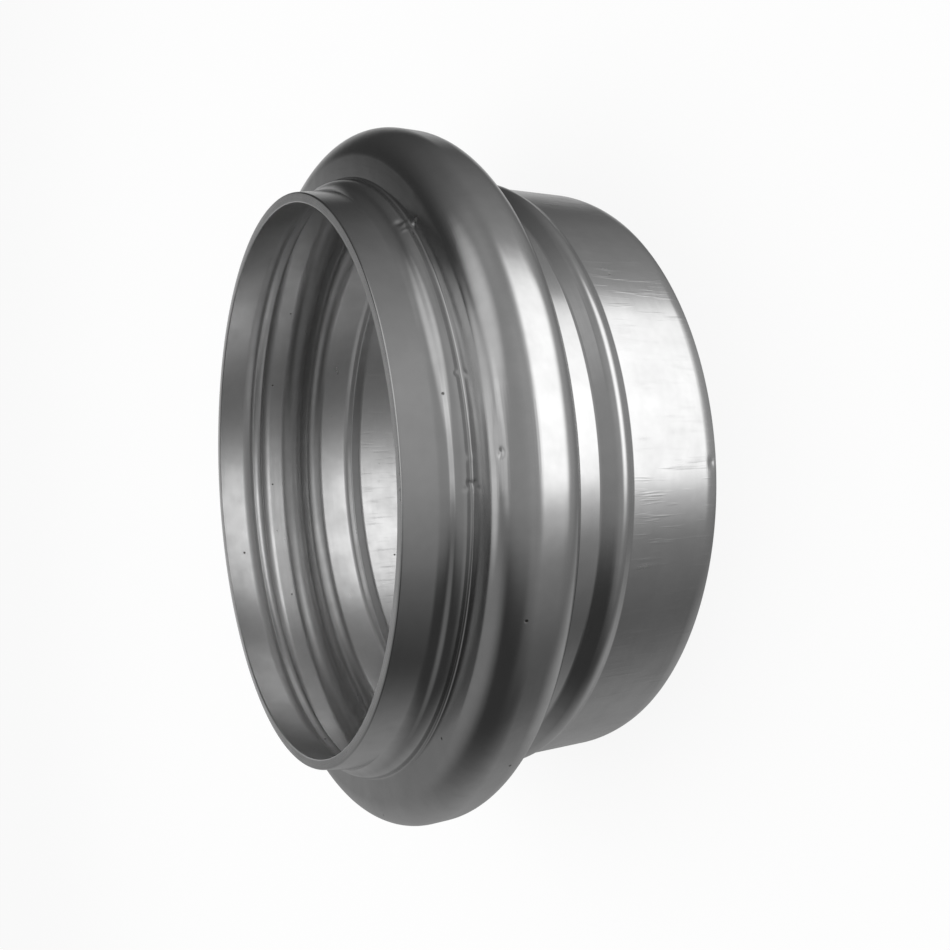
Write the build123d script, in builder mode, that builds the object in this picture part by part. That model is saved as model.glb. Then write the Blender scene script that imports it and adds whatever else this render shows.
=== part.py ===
"""Clamp flange for an exhaust tube: one length of steel tube, roll-formed into beads and a pilot lip.

Stands on its skirt end, which is at Z = 0, with the tube axis on Z and the pilot lip on top.
"""

import os
from math import atan2, cos, radians, sin, tan

from build123d import *

# Driving sizes, in mm: the tube that the flange is formed from
tube_od = 127.0
wall = 2.0

# Steps in or out from the tube, measured square to the axis
end_ease = 0.65
stop_bead_height = 0.8
groove_depth = 1.5
clamp_bead_height = 10.5

# Lengths along the axis, from the skirt up to the lip
skirt_length = 19.4
end_ease_length = 1.7
stop_bead_skirt_side = 1.9
stop_bead_flat = 0.1
stop_bead_groove_side = 2.5
groove_width = 8.0
clamp_bead_width = 16.8
shoulder_width = 2.1
lip_length = 6.9

# Lean of the steep flanks from square to the axis, and of the tapered lip from the axis, in degrees
bead_flank_lean = 4.0
lip_riser_lean = 35.0
lip_lean = 9.0

# Bend radii, on the outside of the sheet
tight_inside_bend = 0.4
foot_bend = 0.9
bead_foot_bend = 0.5
lip_root_bend = 3.0
clamp_bead_bend = 6.5
groove_bend = 2.0
end_ease_bend = 8.0
edge_break = 0.3

# Straight stretch of the riser between the shoulder's bend and the lip's root
riser_flat = 0.4

# Outside radii of the plain stretches; the shoulder comes back to the groove's radius
tube_radius = tube_od / 2
end_radius = tube_radius - end_ease
stop_bead_radius = tube_radius + stop_bead_height
groove_radius = tube_radius - groove_depth
clamp_bead_radius = groove_radius + clamp_bead_height
shoulder_radius = groove_radius

# Where the sheet is folded over tightly, the outside of the bend is one wall larger than its inside
tight_bend = wall + tight_inside_bend

# The stop bead's crest is as long as its two bends need, with a short flat between them
skirt_side_turn = atan2(stop_bead_height, stop_bead_skirt_side)
groove_side_turn = atan2(stop_bead_height + groove_depth, stop_bead_groove_side)
stop_bead_crest = tight_bend * (tan(skirt_side_turn / 2) + tan(groove_side_turn / 2)) + stop_bead_flat

# The riser from the shoulder in to the lip is as long as its two bends and its straight stretch need
shoulder_turn = radians(90.0 - lip_riser_lean)
lip_root_turn = shoulder_turn - radians(lip_lean)
riser_length = tight_bend * tan(shoulder_turn / 2) + lip_root_bend * tan(lip_root_turn / 2) + riser_flat
lip_root_radius = shoulder_radius - riser_length * cos(radians(lip_riser_lean))

# Heights of the profile's corners above the skirt end
stop_bead_crest_low = skirt_length + stop_bead_skirt_side
stop_bead_crest_high = stop_bead_crest_low + stop_bead_crest
groove_low = stop_bead_crest_high + stop_bead_groove_side
groove_high = groove_low + groove_width
bead_flank_run = clamp_bead_height * tan(radians(bead_flank_lean))
clamp_bead_high = groove_high + clamp_bead_width
shoulder_high = clamp_bead_high + shoulder_width
lip_root = shoulder_high + riser_length * sin(radians(lip_riser_lean))
lip_end = lip_root + lip_length

# Both ends are drawn on at their own slope, so that they can be cut square to the axis
trim_allowance = wall
skirt_trim_radius = end_radius - end_ease / end_ease_length * trim_allowance
lip_trim_radius = lip_root_radius - (lip_length + trim_allowance) * tan(radians(lip_lean))

with BuildPart() as clamp_flange:
    with BuildSketch(Plane.XZ):
        with BuildLine():
            outside = FilletPolyline(
                (skirt_trim_radius, -trim_allowance),
                (tube_radius, end_ease_length),
                (tube_radius, skirt_length),
                (stop_bead_radius, stop_bead_crest_low),
                (stop_bead_radius, stop_bead_crest_high),
                (groove_radius, groove_low),
                (groove_radius, groove_high),
                (clamp_bead_radius, groove_high + bead_flank_run),
                (clamp_bead_radius, clamp_bead_high - bead_flank_run),
                (shoulder_radius, clamp_bead_high),
                (shoulder_radius, shoulder_high),
                (lip_root_radius, lip_root),
                (lip_trim_radius, lip_end + trim_allowance),
                radius=[
                    end_ease_bend,
                    foot_bend,
                    tight_bend,
                    tight_bend,
                    foot_bend,
                    groove_bend,
                    clamp_bead_bend,
                    clamp_bead_bend,
                    bead_foot_bend,
                    tight_bend,
                    lip_root_bend,
                ],
            )
            # The sheet lies on the axis side of its outside line
            offset(outside, amount=wall, side=Side.LEFT)
        make_face()
    revolve(axis=Axis.Z)
    # The tube is cut square at both ends; the skirt's cut gives the ring it stands on
    split(bisect_by=Plane.XY, keep=Keep.TOP)
    split(bisect_by=Plane.XY.offset(lip_end), keep=Keep.BOTTOM)
    rims = clamp_flange.faces().filter_by(GeomType.PLANE).edges()
    fillet(rims, radius=edge_break)

clamp_flange.part.label = "clamp_flange"

os.makedirs("parts", exist_ok=True)
export_step(clamp_flange.part, "parts/clamp_flange.step")
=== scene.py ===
from collections import namedtuple
from math import atan2, cos, exp, floor, hypot, pi, radians, sin, tan

import bmesh
import bpy
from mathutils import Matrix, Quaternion, Vector
from mathutils.kdtree import KDTree


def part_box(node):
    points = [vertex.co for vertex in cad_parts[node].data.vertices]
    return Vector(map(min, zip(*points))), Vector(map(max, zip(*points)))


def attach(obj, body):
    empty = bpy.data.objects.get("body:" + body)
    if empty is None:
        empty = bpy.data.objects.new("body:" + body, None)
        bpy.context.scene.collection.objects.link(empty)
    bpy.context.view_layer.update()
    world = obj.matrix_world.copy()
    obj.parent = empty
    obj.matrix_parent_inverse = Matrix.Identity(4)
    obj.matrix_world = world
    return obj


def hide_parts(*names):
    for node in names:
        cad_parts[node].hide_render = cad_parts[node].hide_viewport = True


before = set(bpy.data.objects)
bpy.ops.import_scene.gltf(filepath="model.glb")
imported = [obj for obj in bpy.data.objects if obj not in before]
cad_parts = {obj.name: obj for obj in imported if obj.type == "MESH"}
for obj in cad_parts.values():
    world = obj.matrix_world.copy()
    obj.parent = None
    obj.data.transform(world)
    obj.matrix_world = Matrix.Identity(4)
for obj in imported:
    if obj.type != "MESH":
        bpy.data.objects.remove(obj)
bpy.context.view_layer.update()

MM = 0.001

# Clamp flange: one length of bare steel tube with a 2 mm wall, cold-rolled into a tapered pilot lip, a
# shoulder, a wide hollow bead, a small stop bead and a plain skirt, then cut square at both ends.
wall = 2.0 * MM
edge_break = 0.3 * MM
flank_lean = radians(4.0)
riser_lean = radians(35.0)
lip_lean = radians(9.0)

# Bend radii, on the outside of the sheet
end_ease_bend = 8.0 * MM
foot_bend = 0.9 * MM
tight_bend = 2.4 * MM
groove_bend = 2.0 * MM
clamp_bead_bend = 6.5 * MM
bead_foot_bend = 0.5 * MM
lip_root_bend = 3.0 * MM

# Outside radii; the shoulder has the groove's radius
box_low, box_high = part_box("clamp_flange")
clamp_bead_radius = box_high.x
tube_radius = 63.5 * MM
end_radius = tube_radius - 0.65 * MM
stop_bead_radius = tube_radius + 0.8 * MM
groove_radius = tube_radius - 1.5 * MM

# The riser from the shoulder in to the lip is as long as its two bends and a short straight stretch need
riser_flat = 0.4 * MM
shoulder_turn = pi / 2 - riser_lean
root_turn = shoulder_turn - lip_lean
riser_length = tight_bend * tan(shoulder_turn / 2) + lip_root_bend * tan(root_turn / 2) + riser_flat
lip_root_radius = groove_radius - riser_length * cos(riser_lean)

# Heights, counted up from the skirt end and down from the lip's rim
skirt_end = box_low.z
ease_high = skirt_end + 1.7 * MM
skirt_high = skirt_end + 19.4 * MM
stop_crest_low = skirt_high + 1.9 * MM
lip_high = box_high.z
lip_low = lip_high - 6.9 * MM
shoulder_high = lip_low - riser_length * sin(riser_lean)
clamp_bead_high = shoulder_high - 2.1 * MM
groove_high = clamp_bead_high - 16.8 * MM
groove_low = groove_high - 8.0 * MM
stop_crest_high = groove_low - 2.5 * MM
flank_run = (clamp_bead_radius - groove_radius) * tan(flank_lean)

# Both ends are drawn on at their own slope and cut square later
trim = wall
end_slope = (tube_radius - end_radius) / (ease_high - skirt_end)
lip_radius = lip_root_radius - (lip_high - lip_low) * tan(lip_lean)

# Corners of the outside, from the skirt end up, each with its bend radius and the steps in its arc
Corner = namedtuple("Corner", "radius height bend steps")
corners = [
    Corner(end_radius - end_slope * trim, skirt_end - trim, 0, 0),
    Corner(tube_radius, ease_high, end_ease_bend, 5),
    Corner(tube_radius, skirt_high, foot_bend, 3),
    Corner(stop_bead_radius, stop_crest_low, tight_bend, 4),
    Corner(stop_bead_radius, stop_crest_high, tight_bend, 6),
    Corner(groove_radius, groove_low, foot_bend, 4),
    Corner(groove_radius, groove_high, groove_bend, 8),
    Corner(clamp_bead_radius, groove_high + flank_run, clamp_bead_bend, 16),
    Corner(clamp_bead_radius, clamp_bead_high - flank_run, clamp_bead_bend, 20),
    Corner(groove_radius, clamp_bead_high, bead_foot_bend, 6),
    Corner(groove_radius, shoulder_high, tight_bend, 10),
    Corner(lip_root_radius, lip_low, lip_root_bend, 10),
    Corner(lip_radius - trim * tan(lip_lean), lip_high + trim, 0, 0),
]
segments = 360

bpy.ops.object.select_all(action="DESELECT")
bpy.ops.mesh.primitive_circle_add(vertices=segments, radius=corners[0].radius)
flange = bpy.context.object
flange.name = flange.data.name = "formed_flange"
bpy.ops.object.mode_set(mode="EDIT")
bpy.ops.mesh.select_mode(type="EDGE")
bpy.ops.mesh.select_all(action="SELECT")
bpy.ops.transform.translate(value=(0, 0, corners[0].height))
for corner, above in zip(corners, corners[1:]):
    bpy.ops.mesh.extrude_region_move(TRANSFORM_OT_translate={"value": (0, 0, above.height - corner.height)})
    widening = above.radius / corner.radius
    bpy.ops.transform.resize(value=(widening, widening, 1), center_override=(0, 0, above.height))


def bevel_ring(radius, height, offset, steps):
    """Rounds the ring of edges that lies at one radius and height."""
    near = 0.02 * MM
    bpy.ops.mesh.select_all(action="DESELECT")
    rings = bmesh.from_edit_mesh(flange.data)
    for edge in rings.edges:
        misses = [abs(hypot(v.co.x, v.co.y) - radius) + abs(v.co.z - height) for v in edge.verts]
        edge.select_set(max(misses) < near)
    bmesh.update_edit_mesh(flange.data)
    bpy.ops.mesh.bevel(offset=offset, segments=steps, profile=0.5, affect="EDGES", clamp_overlap=False)


for below, corner, above in zip(corners, corners[1:], corners[2:]):
    heading_in = atan2(corner.height - below.height, corner.radius - below.radius)
    heading_out = atan2(above.height - corner.height, above.radius - corner.radius)
    tangent = corner.bend * tan(abs(heading_out - heading_in) / 2)
    bevel_ring(corner.radius, corner.height, tangent, corner.steps)
bpy.ops.mesh.select_all(action="SELECT")
bpy.ops.mesh.normals_make_consistent(inside=False)
bpy.ops.object.mode_set(mode="OBJECT")

# The sheet's thickness goes inwards
sheet = flange.modifiers.new("sheet", "SOLIDIFY")
sheet.thickness = wall
sheet.offset = -1
sheet.use_even_offset = True
bpy.ops.object.modifier_apply(modifier=sheet.name)

# Both ends are cut square and their rims lose the sharp edges
bpy.ops.object.mode_set(mode="EDIT")
for cut_height, cut_way in [(skirt_end, -1), (lip_high, 1)]:
    bpy.ops.mesh.select_all(action="SELECT")
    bpy.ops.mesh.bisect(plane_co=(0, 0, cut_height), plane_no=(0, 0, cut_way), clear_outer=True)
    bpy.ops.mesh.select_all(action="DESELECT")
    bpy.ops.mesh.select_non_manifold(extend=False)
    bpy.ops.mesh.bridge_edge_loops()
bpy.ops.mesh.select_all(action="SELECT")
bpy.ops.mesh.normals_make_consistent(inside=False)
end_bore = end_radius - hypot(wall, wall * end_slope)
lip_bore = lip_radius - wall / cos(lip_lean)
rims = [(end_radius, skirt_end), (end_bore, skirt_end), (lip_radius, lip_high), (lip_bore, lip_high)]
for rim_radius, rim_height in rims:
    bevel_ring(rim_radius, rim_height, edge_break, 3)
bpy.ops.object.mode_set(mode="OBJECT")

# Knocks from handling, each a smooth hollow, or a burr where its depth is below zero. Sizes are in mm and
# angles in degrees. Turn is counted round the axis; around and along are half sizes round the tube and
# across it, and skew turns the hollow.
Knock = namedtuple("Knock", "turn radius height around along depth skew")
knocks = [
    # Gouge across the shoulder: two small burrs, a hollow on each side, and a scored line along the foot
    Knock(-44.6, 62.3, 51.3, 0.35, 1.2, -0.16, 45),
    Knock(-46.3, 61.9, 51.9, 0.30, 0.7, -0.11, 20),
    Knock(-44.0, 61.8, 52.2, 0.7, 0.7, 0.24, 20),
    Knock(-45.7, 62.6, 50.1, 0.7, 0.5, 0.30, 0),
    Knock(-50.6, 62.2, 50.3, 4.0, 0.4, 0.14, 0),
    # Arrow-shaped chip in the shoulder, next to the bead's foot, with a burr and a nick farther along
    Knock(-91.1, 62.1, 50.6, 0.4, 0.5, 0.22, -30),
    Knock(-91.8, 63.2, 50.0, 0.3, 0.6, 0.16, 35),
    Knock(-91.9, 62.0, 51.4, 0.3, 0.4, 0.12, 35),
    Knock(-87.4, 62.1, 50.5, 0.7, 0.5, -0.10, 0),
    Knock(-74.6, 62.0, 51.1, 0.5, 0.5, 0.15, 0),
    # Long flat knock on the rolled corner of the clamp bead, with a deeper end
    Knock(-85.6, 68.9, 49.1, 3.2, 0.9, 0.10, 0),
    Knock(-87.3, 69.2, 48.9, 0.7, 0.6, 0.16, 0),
    # Small knocks on the lip and on the skirt end
    Knock(-92.3, 58.7, 59.6, 0.7, 0.6, 0.12, 0),
    Knock(-87.2, 58.6, 60.0, 1.0, 0.5, 0.08, 0),
    Knock(-89.7, 63.3, 1.5, 0.9, 0.8, 0.20, 0),
]


def spot(knock):
    """Middle of a knock, with the directions round the tube, across the sheet and into it."""
    angle = radians(knock.turn)
    outwards = Vector((cos(angle), sin(angle), 0))
    guess = outwards * knock.radius * MM + Vector((0, 0, knock.height * MM))
    _, middle, normal, _ = flange.closest_point_on_mesh(guess)
    round_way = Vector((0, 0, 1)).cross(outwards)
    return middle, round_way, normal.cross(round_way), -normal


def near_points(mesh, middles, reaches):
    """For each middle, the numbers of the mesh's points within its reach."""
    finder = KDTree(len(mesh.verts))
    for vert in mesh.verts:
        finder.insert(vert.co, vert.index)
    finder.balance()
    found = [finder.find_range(middle, reach) for middle, reach in zip(middles, reaches)]
    return [[index for co, index, distance in points] for points in found]


# A knock has faded out at 2.6 half sizes, and only the side of the sheet that it lies on moves
fade_out = 2.6
spare = 0.6
sheet_side = 1.2
spots = [spot(knock) for knock in knocks]
middles = [facts[0] for facts in spots]
reaches = [(fade_out * max(knock.around, knock.along) + spare) * MM for knock in knocks]

# The mesh is made finer where the knocks are
shortest_split = 0.4 * MM
bpy.ops.object.mode_set(mode="EDIT")
bpy.ops.mesh.select_all(action="DESELECT")
knocked = bmesh.from_edit_mesh(flange.data)
knocked.verts.ensure_lookup_table()
for points in near_points(knocked, middles, reaches):
    within = set(points)
    for index in points:
        vert = knocked.verts[index]
        for edge in vert.link_edges:
            if edge.other_vert(vert).index in within and edge.calc_length() > shortest_split:
                edge.select_set(True)
bmesh.update_edit_mesh(flange.data)
bpy.ops.mesh.subdivide(number_cuts=3)

# The new points lie on chords and are put back on the round
pitch = 2 * pi / segments
knocked = bmesh.from_edit_mesh(flange.data)
knocked.verts.ensure_lookup_table()
for vert in knocked.verts:
    angle = atan2(vert.co.y, vert.co.x)
    from_middle = angle - (floor(angle / pitch) + 0.5) * pitch
    vert.co.xy *= cos(from_middle) / cos(pitch / 2)

# Each knock pushes the points in from where they were before the first one
all_points = near_points(knocked, middles, reaches)
starts = {index: knocked.verts[index].co.copy() for points in all_points for index in points}
for knock, facts, points in zip(knocks, spots, all_points):
    middle, round_way, across_way, inwards = facts
    skew_cos, skew_sin = cos(radians(knock.skew)), sin(radians(knock.skew))
    for index in points:
        offset = (starts[index] - middle) / MM
        if abs(offset.dot(inwards)) < sheet_side:
            u, w = offset.dot(round_way), offset.dot(across_way)
            u, w = u * skew_cos + w * skew_sin, w * skew_cos - u * skew_sin
            push = knock.depth * exp(-(u / knock.around) ** 2 - (w / knock.along) ** 2)
            knocked.verts[index].co += inwards * push * MM
bmesh.update_edit_mesh(flange.data)
bpy.ops.object.mode_set(mode="OBJECT")
bpy.ops.object.shade_smooth()
evened = flange.modifiers.new("evened_normals", "WEIGHTED_NORMAL")
evened.weight = 100
bpy.ops.object.modifier_apply(modifier=evened.name)


def add_node(tree, kind, inputs=None, **settings):
    """Adds a node; inputs gives each socket, by name or number, a value or another node's output."""
    node = tree.nodes.new(kind)
    for name, value in settings.items():
        setattr(node, name, value)
    for socket, value in (inputs or {}).items():
        if isinstance(value, bpy.types.NodeSocket):
            tree.links.new(value, node.inputs[socket])
        else:
            node.inputs[socket].default_value = value
    return node.outputs


def srgb(code):
    """Linear colour from an sRGB hex code."""
    levels = [int(code[i:i + 2], 16) / 255 for i in (1, 3, 5)]
    return [v / 12.92 if v <= 0.04045 else ((v + 0.055) / 1.055) ** 2.4 for v in levels] + [1.0]


# Bare low-carbon steel as it comes off the forming rolls: semi-bright, with fine lines rolled in round the
# tube, duller patches where it was handled, a few small pits, and scuffs along the skirt
steel = bpy.data.materials.new("bare_rolled_steel")
steel.use_nodes = True
tree = steel.node_tree
tree.nodes.clear()
coordinates = add_node(tree, "ShaderNodeTexCoord")
place = coordinates["Object"]
split = add_node(tree, "ShaderNodeSeparateXYZ", {"Vector": place})
flat = add_node(tree, "ShaderNodeCombineXYZ", {"X": split["X"], "Y": split["Y"]})[0]
radius = add_node(tree, "ShaderNodeVectorMath", {0: flat}, operation="LENGTH")["Value"]
turn = add_node(tree, "ShaderNodeMath", {0: split["Y"], 1: split["X"]}, operation="ARCTAN2")[0]

# Rolled lines run round the tube, so they change quickly across it and slowly along a turn. They are drawn
# coarser than real ones, so that they show.
line_spacing = 1.6 * MM
across = add_node(tree, "ShaderNodeMath", {0: radius, 1: split["Z"]}, operation="ADD")[0]
apart = add_node(tree, "ShaderNodeMath", {0: radius, 1: split["Z"]}, operation="SUBTRACT")[0]
turn_slow = add_node(tree, "ShaderNodeMath", {0: turn, 1: 6.0 * MM}, operation="MULTIPLY")[0]
along_lines = add_node(tree, "ShaderNodeCombineXYZ", {"X": across, "Y": apart, "Z": turn_slow})[0]
lines = add_node(tree, "ShaderNodeTexNoise", {"Vector": along_lines, "Scale": 1 / line_spacing, "Detail": 2.0,
                                              "Roughness": 0.5})[0]

# Handled patches a few millimetres across, and a faint ripple of the sheet
patch_size = 7.0 * MM
ripple_size = 3.5 * MM
patches = add_node(tree, "ShaderNodeTexNoise", {"Vector": place, "Scale": 1 / patch_size, "Detail": 3.0,
                                                "Roughness": 0.6})[0]
ripple = add_node(tree, "ShaderNodeTexNoise", {"Vector": place, "Scale": 1 / ripple_size, "Detail": 1.0})[0]

# Scuffs along the axis, from tubes pushed on to the skirt; each is about 11 times as long as it is wide
scuff_width = 1.1 * MM
on_skirt = add_node(tree, "ShaderNodeMapRange", {"Value": split["Z"], 1: 21.0 * MM, 2: 17.0 * MM})[0]
turn_fast = add_node(tree, "ShaderNodeMath", {0: turn, 1: 64.0 * MM}, operation="MULTIPLY")[0]
z_slow = add_node(tree, "ShaderNodeMath", {0: split["Z"], 1: 0.09}, operation="MULTIPLY")[0]
along_skirt = add_node(tree, "ShaderNodeCombineXYZ", {"X": turn_fast, "Y": z_slow})[0]
scuff_noise = add_node(tree, "ShaderNodeTexNoise", {"Vector": along_skirt, "Scale": 1 / scuff_width,
                                                    "Detail": 2.0, "Roughness": 0.6})[0]
scuff_tops = add_node(tree, "ShaderNodeMapRange", {"Value": scuff_noise, 1: 0.55, 2: 0.8})[0]
scuffs = add_node(tree, "ShaderNodeMath", {0: scuff_tops, 1: on_skirt}, operation="MULTIPLY")[0]

# Small pits, in some of the cells only
pit_spacing = 4.5 * MM
pit_radius = 0.36 * MM
pit_floor_radius = 0.135 * MM
pit_cells = add_node(tree, "ShaderNodeTexVoronoi", {"Vector": place, "Scale": 1 / pit_spacing})
pit_spots = add_node(tree, "ShaderNodeMapRange", {"Value": pit_cells["Distance"], 1: pit_radius / pit_spacing,
                                                  2: pit_floor_radius / pit_spacing},
                     interpolation_type="SMOOTHSTEP")[0]
pit_pick = add_node(tree, "ShaderNodeSeparateColor", {"Color": pit_cells["Color"]})["Red"]
pit_here = add_node(tree, "ShaderNodeMath", {0: pit_pick, 1: 0.8}, operation="GREATER_THAN")[0]
pits = add_node(tree, "ShaderNodeMath", {0: pit_spots, 1: pit_here}, operation="MULTIPLY")[0]

patch_tone = add_node(tree, "ShaderNodeMapRange", {"Value": patches, 1: 0.3, 2: 0.7})[0]
tone = add_node(tree, "ShaderNodeMix", {0: patch_tone, 6: srgb("#cecece"), 7: srgb("#c4c4c4")},
                data_type="RGBA")[2]
pitted = add_node(tree, "ShaderNodeMix", {0: pits, 6: tone, 7: srgb("#6a6866")}, data_type="RGBA")[2]

# The inside, where the surface faces the axis, is duller than the outside
outwards = add_node(tree, "ShaderNodeVectorMath", {0: coordinates["Normal"], 1: flat},
                    operation="DOT_PRODUCT")["Value"]
inside = add_node(tree, "ShaderNodeMath", {0: outwards, 1: 0.0}, operation="LESS_THAN")[0]
side_roughness = add_node(tree, "ShaderNodeMath", {0: inside, 1: 0.15, 2: 0.10}, operation="MULTIPLY_ADD")[0]
line_roughness = add_node(tree, "ShaderNodeMath", {0: lines, 1: 0.06, 2: side_roughness},
                          operation="MULTIPLY_ADD")[0]
patch_roughness = add_node(tree, "ShaderNodeMath", {0: patch_tone, 1: 0.07, 2: line_roughness},
                           operation="MULTIPLY_ADD")[0]
roughness = add_node(tree, "ShaderNodeMath", {0: scuffs, 1: 0.15, 2: patch_roughness},
                     operation="MULTIPLY_ADD")[0]

line_bump = add_node(tree, "ShaderNodeBump", {"Height": lines, "Strength": 1.0, "Distance": 0.009 * MM})[0]
ripple_bump = add_node(tree, "ShaderNodeBump", {"Height": ripple, "Strength": 1.0, "Distance": 0.018 * MM,
                                                "Normal": line_bump})[0]
scuff_bump = add_node(tree, "ShaderNodeBump", {"Height": scuffs, "Strength": 1.0, "Distance": 0.02 * MM,
                                               "Normal": ripple_bump})[0]
pit_bump = add_node(tree, "ShaderNodeBump", {"Height": pits, "Strength": 1.0, "Distance": 0.06 * MM,
                                             "Normal": scuff_bump}, invert=True)[0]
surface = add_node(tree, "ShaderNodeBsdfPrincipled", {"Base Color": pitted, "Metallic": 1.0,
                                                      "Roughness": roughness, "Normal": pit_bump})["BSDF"]
add_node(tree, "ShaderNodeOutputMaterial", {"Surface": surface})
flange.data.materials.append(steel)
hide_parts("clamp_flange")
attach(flange, "root")


def background_rays(tree):
    """1 for the rays that show the background: from the camera, or off metal or through glass."""
    rays = add_node(tree, "ShaderNodeLightPath")
    shown = add_node(tree, "ShaderNodeMath", {0: rays["Is Camera Ray"], 1: rays["Is Glossy Ray"]},
                     operation="MAXIMUM")[0]
    return add_node(tree, "ShaderNodeMath", {0: shown, 1: rays["Is Transmission Ray"]},
                    operation="MAXIMUM")[0]


# Floor: a sheet of white card, mostly shown as plain white with a faint shadow. The steel mirrors the
# tent in its place.
bpy.ops.object.select_all(action="DESELECT")
bpy.ops.mesh.primitive_plane_add(size=14.0)
ground = bpy.context.object
ground.name = ground.data.name = "floor"
card = bpy.data.materials.new("white_card")
card.use_nodes = True
tree = card.node_tree
tree.nodes.clear()
lit_card = add_node(tree, "ShaderNodeBsdfDiffuse", {"Color": srgb("#f8f8f8")})["BSDF"]
plain_white = add_node(tree, "ShaderNodeEmission", {"Color": srgb("#ffffff"), "Strength": 1.0})["Emission"]
whiteness = add_node(tree, "ShaderNodeMath", {0: background_rays(tree), 1: 0.88}, operation="MULTIPLY")[0]
shown_card = add_node(tree, "ShaderNodeMixShader", {0: whiteness, 1: lit_card, 2: plain_white})[0]
add_node(tree, "ShaderNodeOutputMaterial", {"Surface": shown_card})
ground.data.materials.append(card)
ground.visible_glossy = False

# Light tent: a cloth dome round the part, which only the steel's reflections show. A bright panel stands low
# in front, with a dim fill round it, and softer lights overhead, behind and beside it. A light's side is its
# angle round from the camera's side, towards +X, and its rise is its angle above the floor.
bpy.ops.object.select_all(action="DESELECT")
bpy.ops.mesh.primitive_uv_sphere_add(segments=96, ring_count=48, radius=0.35)
bpy.ops.object.shade_smooth()
tent = bpy.context.object
tent.name = tent.data.name = "light_tent"
cloth = bpy.data.materials.new("lit_tent_cloth")
cloth.use_nodes = True
tree = cloth.node_tree
tree.nodes.clear()
place = add_node(tree, "ShaderNodeTexCoord")["Object"]
way = add_node(tree, "ShaderNodeVectorMath", {0: place}, operation="NORMALIZE")["Vector"]
split = add_node(tree, "ShaderNodeSeparateXYZ", {"Vector": way})
forward = add_node(tree, "ShaderNodeMath", {0: split["Y"], 1: -1.0}, operation="MULTIPLY")[0]
side_angle = add_node(tree, "ShaderNodeMath", {0: split["X"], 1: forward}, operation="ARCTAN2")[0]
rise_angle = add_node(tree, "ShaderNodeMath", {0: split["Z"]}, operation="ARCSINE")[0]


def panel(side, rise, level):
    """A panel with soft edges; side and rise say where it starts, is full, starts to fade and is gone."""
    for angle, edges in [(side_angle, side), (rise_angle, rise)]:
        starts, full, fades, gone = [radians(edge) for edge in edges]
        for dark, light in [(starts, full), (gone, fades)]:
            level = add_node(tree, "ShaderNodeMapRange", {"Value": angle, 1: dark, 2: light, 4: level},
                             interpolation_type="SMOOTHSTEP")[0]
    return level


def glow(side, rise, inner, outer, level):
    """A round glow that is full within one angle of its middle and gone at another."""
    side, rise = radians(side), radians(rise)
    middle = (cos(rise) * sin(side), -cos(rise) * cos(side), sin(rise))
    nearness = add_node(tree, "ShaderNodeVectorMath", {0: way, 1: middle}, operation="DOT_PRODUCT")["Value"]
    return add_node(tree, "ShaderNodeMapRange", {"Value": nearness, 1: cos(radians(outer)),
                                                 2: cos(radians(inner)), 4: level},
                    interpolation_type="SMOOTHSTEP")[0]


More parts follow.
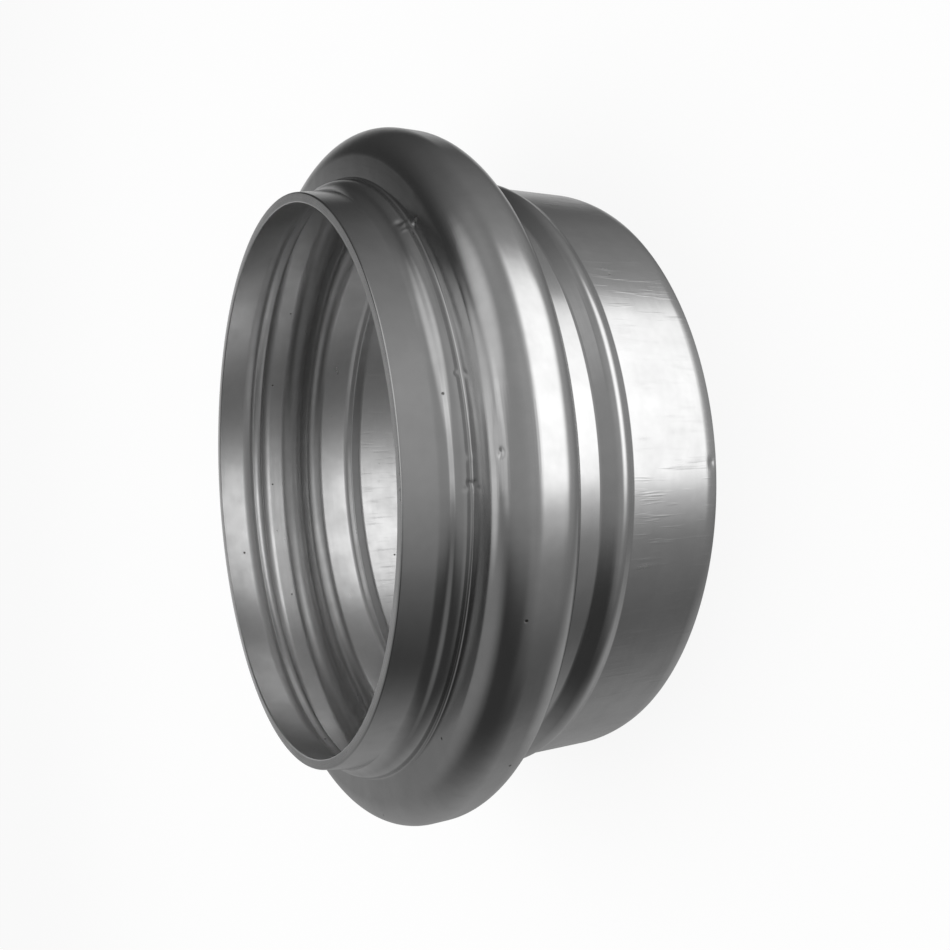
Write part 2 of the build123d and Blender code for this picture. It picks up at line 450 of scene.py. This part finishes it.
lights = [
    # Bright panel low in front, which the skirt and the groove mirror, and a wider one that softens its edges
    panel((-12, 0, 54, 68), (-55, -32, -20, -2), 0.90),
    panel((-25, -8, 30, 80), (-50, -34, -20, -6), 0.36),
    # Dim fill, over most of the front and less of it towards -X
    panel((-50, 10, 45, 135), (-95, -55, 60, 90), 0.18),
    panel((-80, -20, 30, 60), (-40, -8, 6, 22), 0.08),
    # High in front, for the clamp bead's corner, the shoulder and the riser
    panel((-22, -4, 40, 60), (58, 67, 80, 87), 0.42),
    panel((-40, -10, 60, 90), (0, 22, 60, 80), 0.12),
    glow(60, 55, 8, 26, 0.42),
    # Overhead, towards the back
    glow(150, 76, 8, 22, 0.55),
    glow(-130, 72, 5, 42, 0.20),
    # Behind: one for the flank of the clamp bead, and a low one for views from the back
    glow(176, 20, 12, 34, 0.32),
    glow(165, -20, 20, 48, 0.45),
    # Wide and soft, below the front and at the back towards -X
    glow(25, -55, 10, 90, 0.17),
    glow(-140, -20, 30, 80, 0.25),
]
brightness = 0.045
for light in lights:
    brightness = add_node(tree, "ShaderNodeMath", {0: light, 1: brightness}, operation="ADD")[0]
glowing = add_node(tree, "ShaderNodeEmission", {"Color": srgb("#ffffff"), "Strength": brightness})["Emission"]
add_node(tree, "ShaderNodeOutputMaterial", {"Surface": glowing})
cloth.cycles.emission_sampling = "NONE"
tent.data.materials.append(cloth)
tent.visible_camera = False
tent.visible_diffuse = False
tent.visible_shadow = False

# Backdrop: plain white behind the floor, and an even light for the card
world = bpy.data.worlds.new("studio")
world.use_nodes = True
tree = world.node_tree
tree.nodes.clear()
brightness = add_node(tree, "ShaderNodeMapRange", {"Value": background_rays(tree), 3: 0.6, 4: 1.0})[0]
backdrop = add_node(tree, "ShaderNodeBackground", {"Color": srgb("#ffffff"), "Strength": brightness})[0]
add_node(tree, "ShaderNodeOutputWorld", {"Surface": backdrop})
bpy.context.scene.world = world

# A large soft box straight above casts the part's shadow on the floor
softbox_data = bpy.data.lights.new("softbox", "AREA")
softbox_data.shape = "SQUARE"
softbox_data.size = 1.2
softbox_data.energy = 6.0
softbox = bpy.data.objects.new("softbox", softbox_data)
softbox.location = (0, 0, 1.1)
softbox.visible_glossy = False
bpy.context.scene.collection.objects.link(softbox)

# Camera: close to the lip's side of the part and rolled on its side
camera_roll = radians(-92.7)
camera_data = bpy.data.cameras.new("camera")
camera_data.lens = 36.0
camera_data.sensor_width = 36.0
camera = bpy.data.objects.new("camera", camera_data)
bpy.context.scene.collection.objects.link(camera)
camera.location = (1.0 * MM, -193.45 * MM, 121.3 * MM)
aim = Vector((-0.36 * MM, 0.0, 15.8 * MM)) - camera.location
camera.rotation_mode = "QUATERNION"
camera.rotation_quaternion = aim.to_track_quat("-Z", "Y") @ Quaternion((0, 0, 1), camera_roll)
bpy.context.scene.camera = camera
bpy.context.scene.view_settings.view_transform = "Standard"
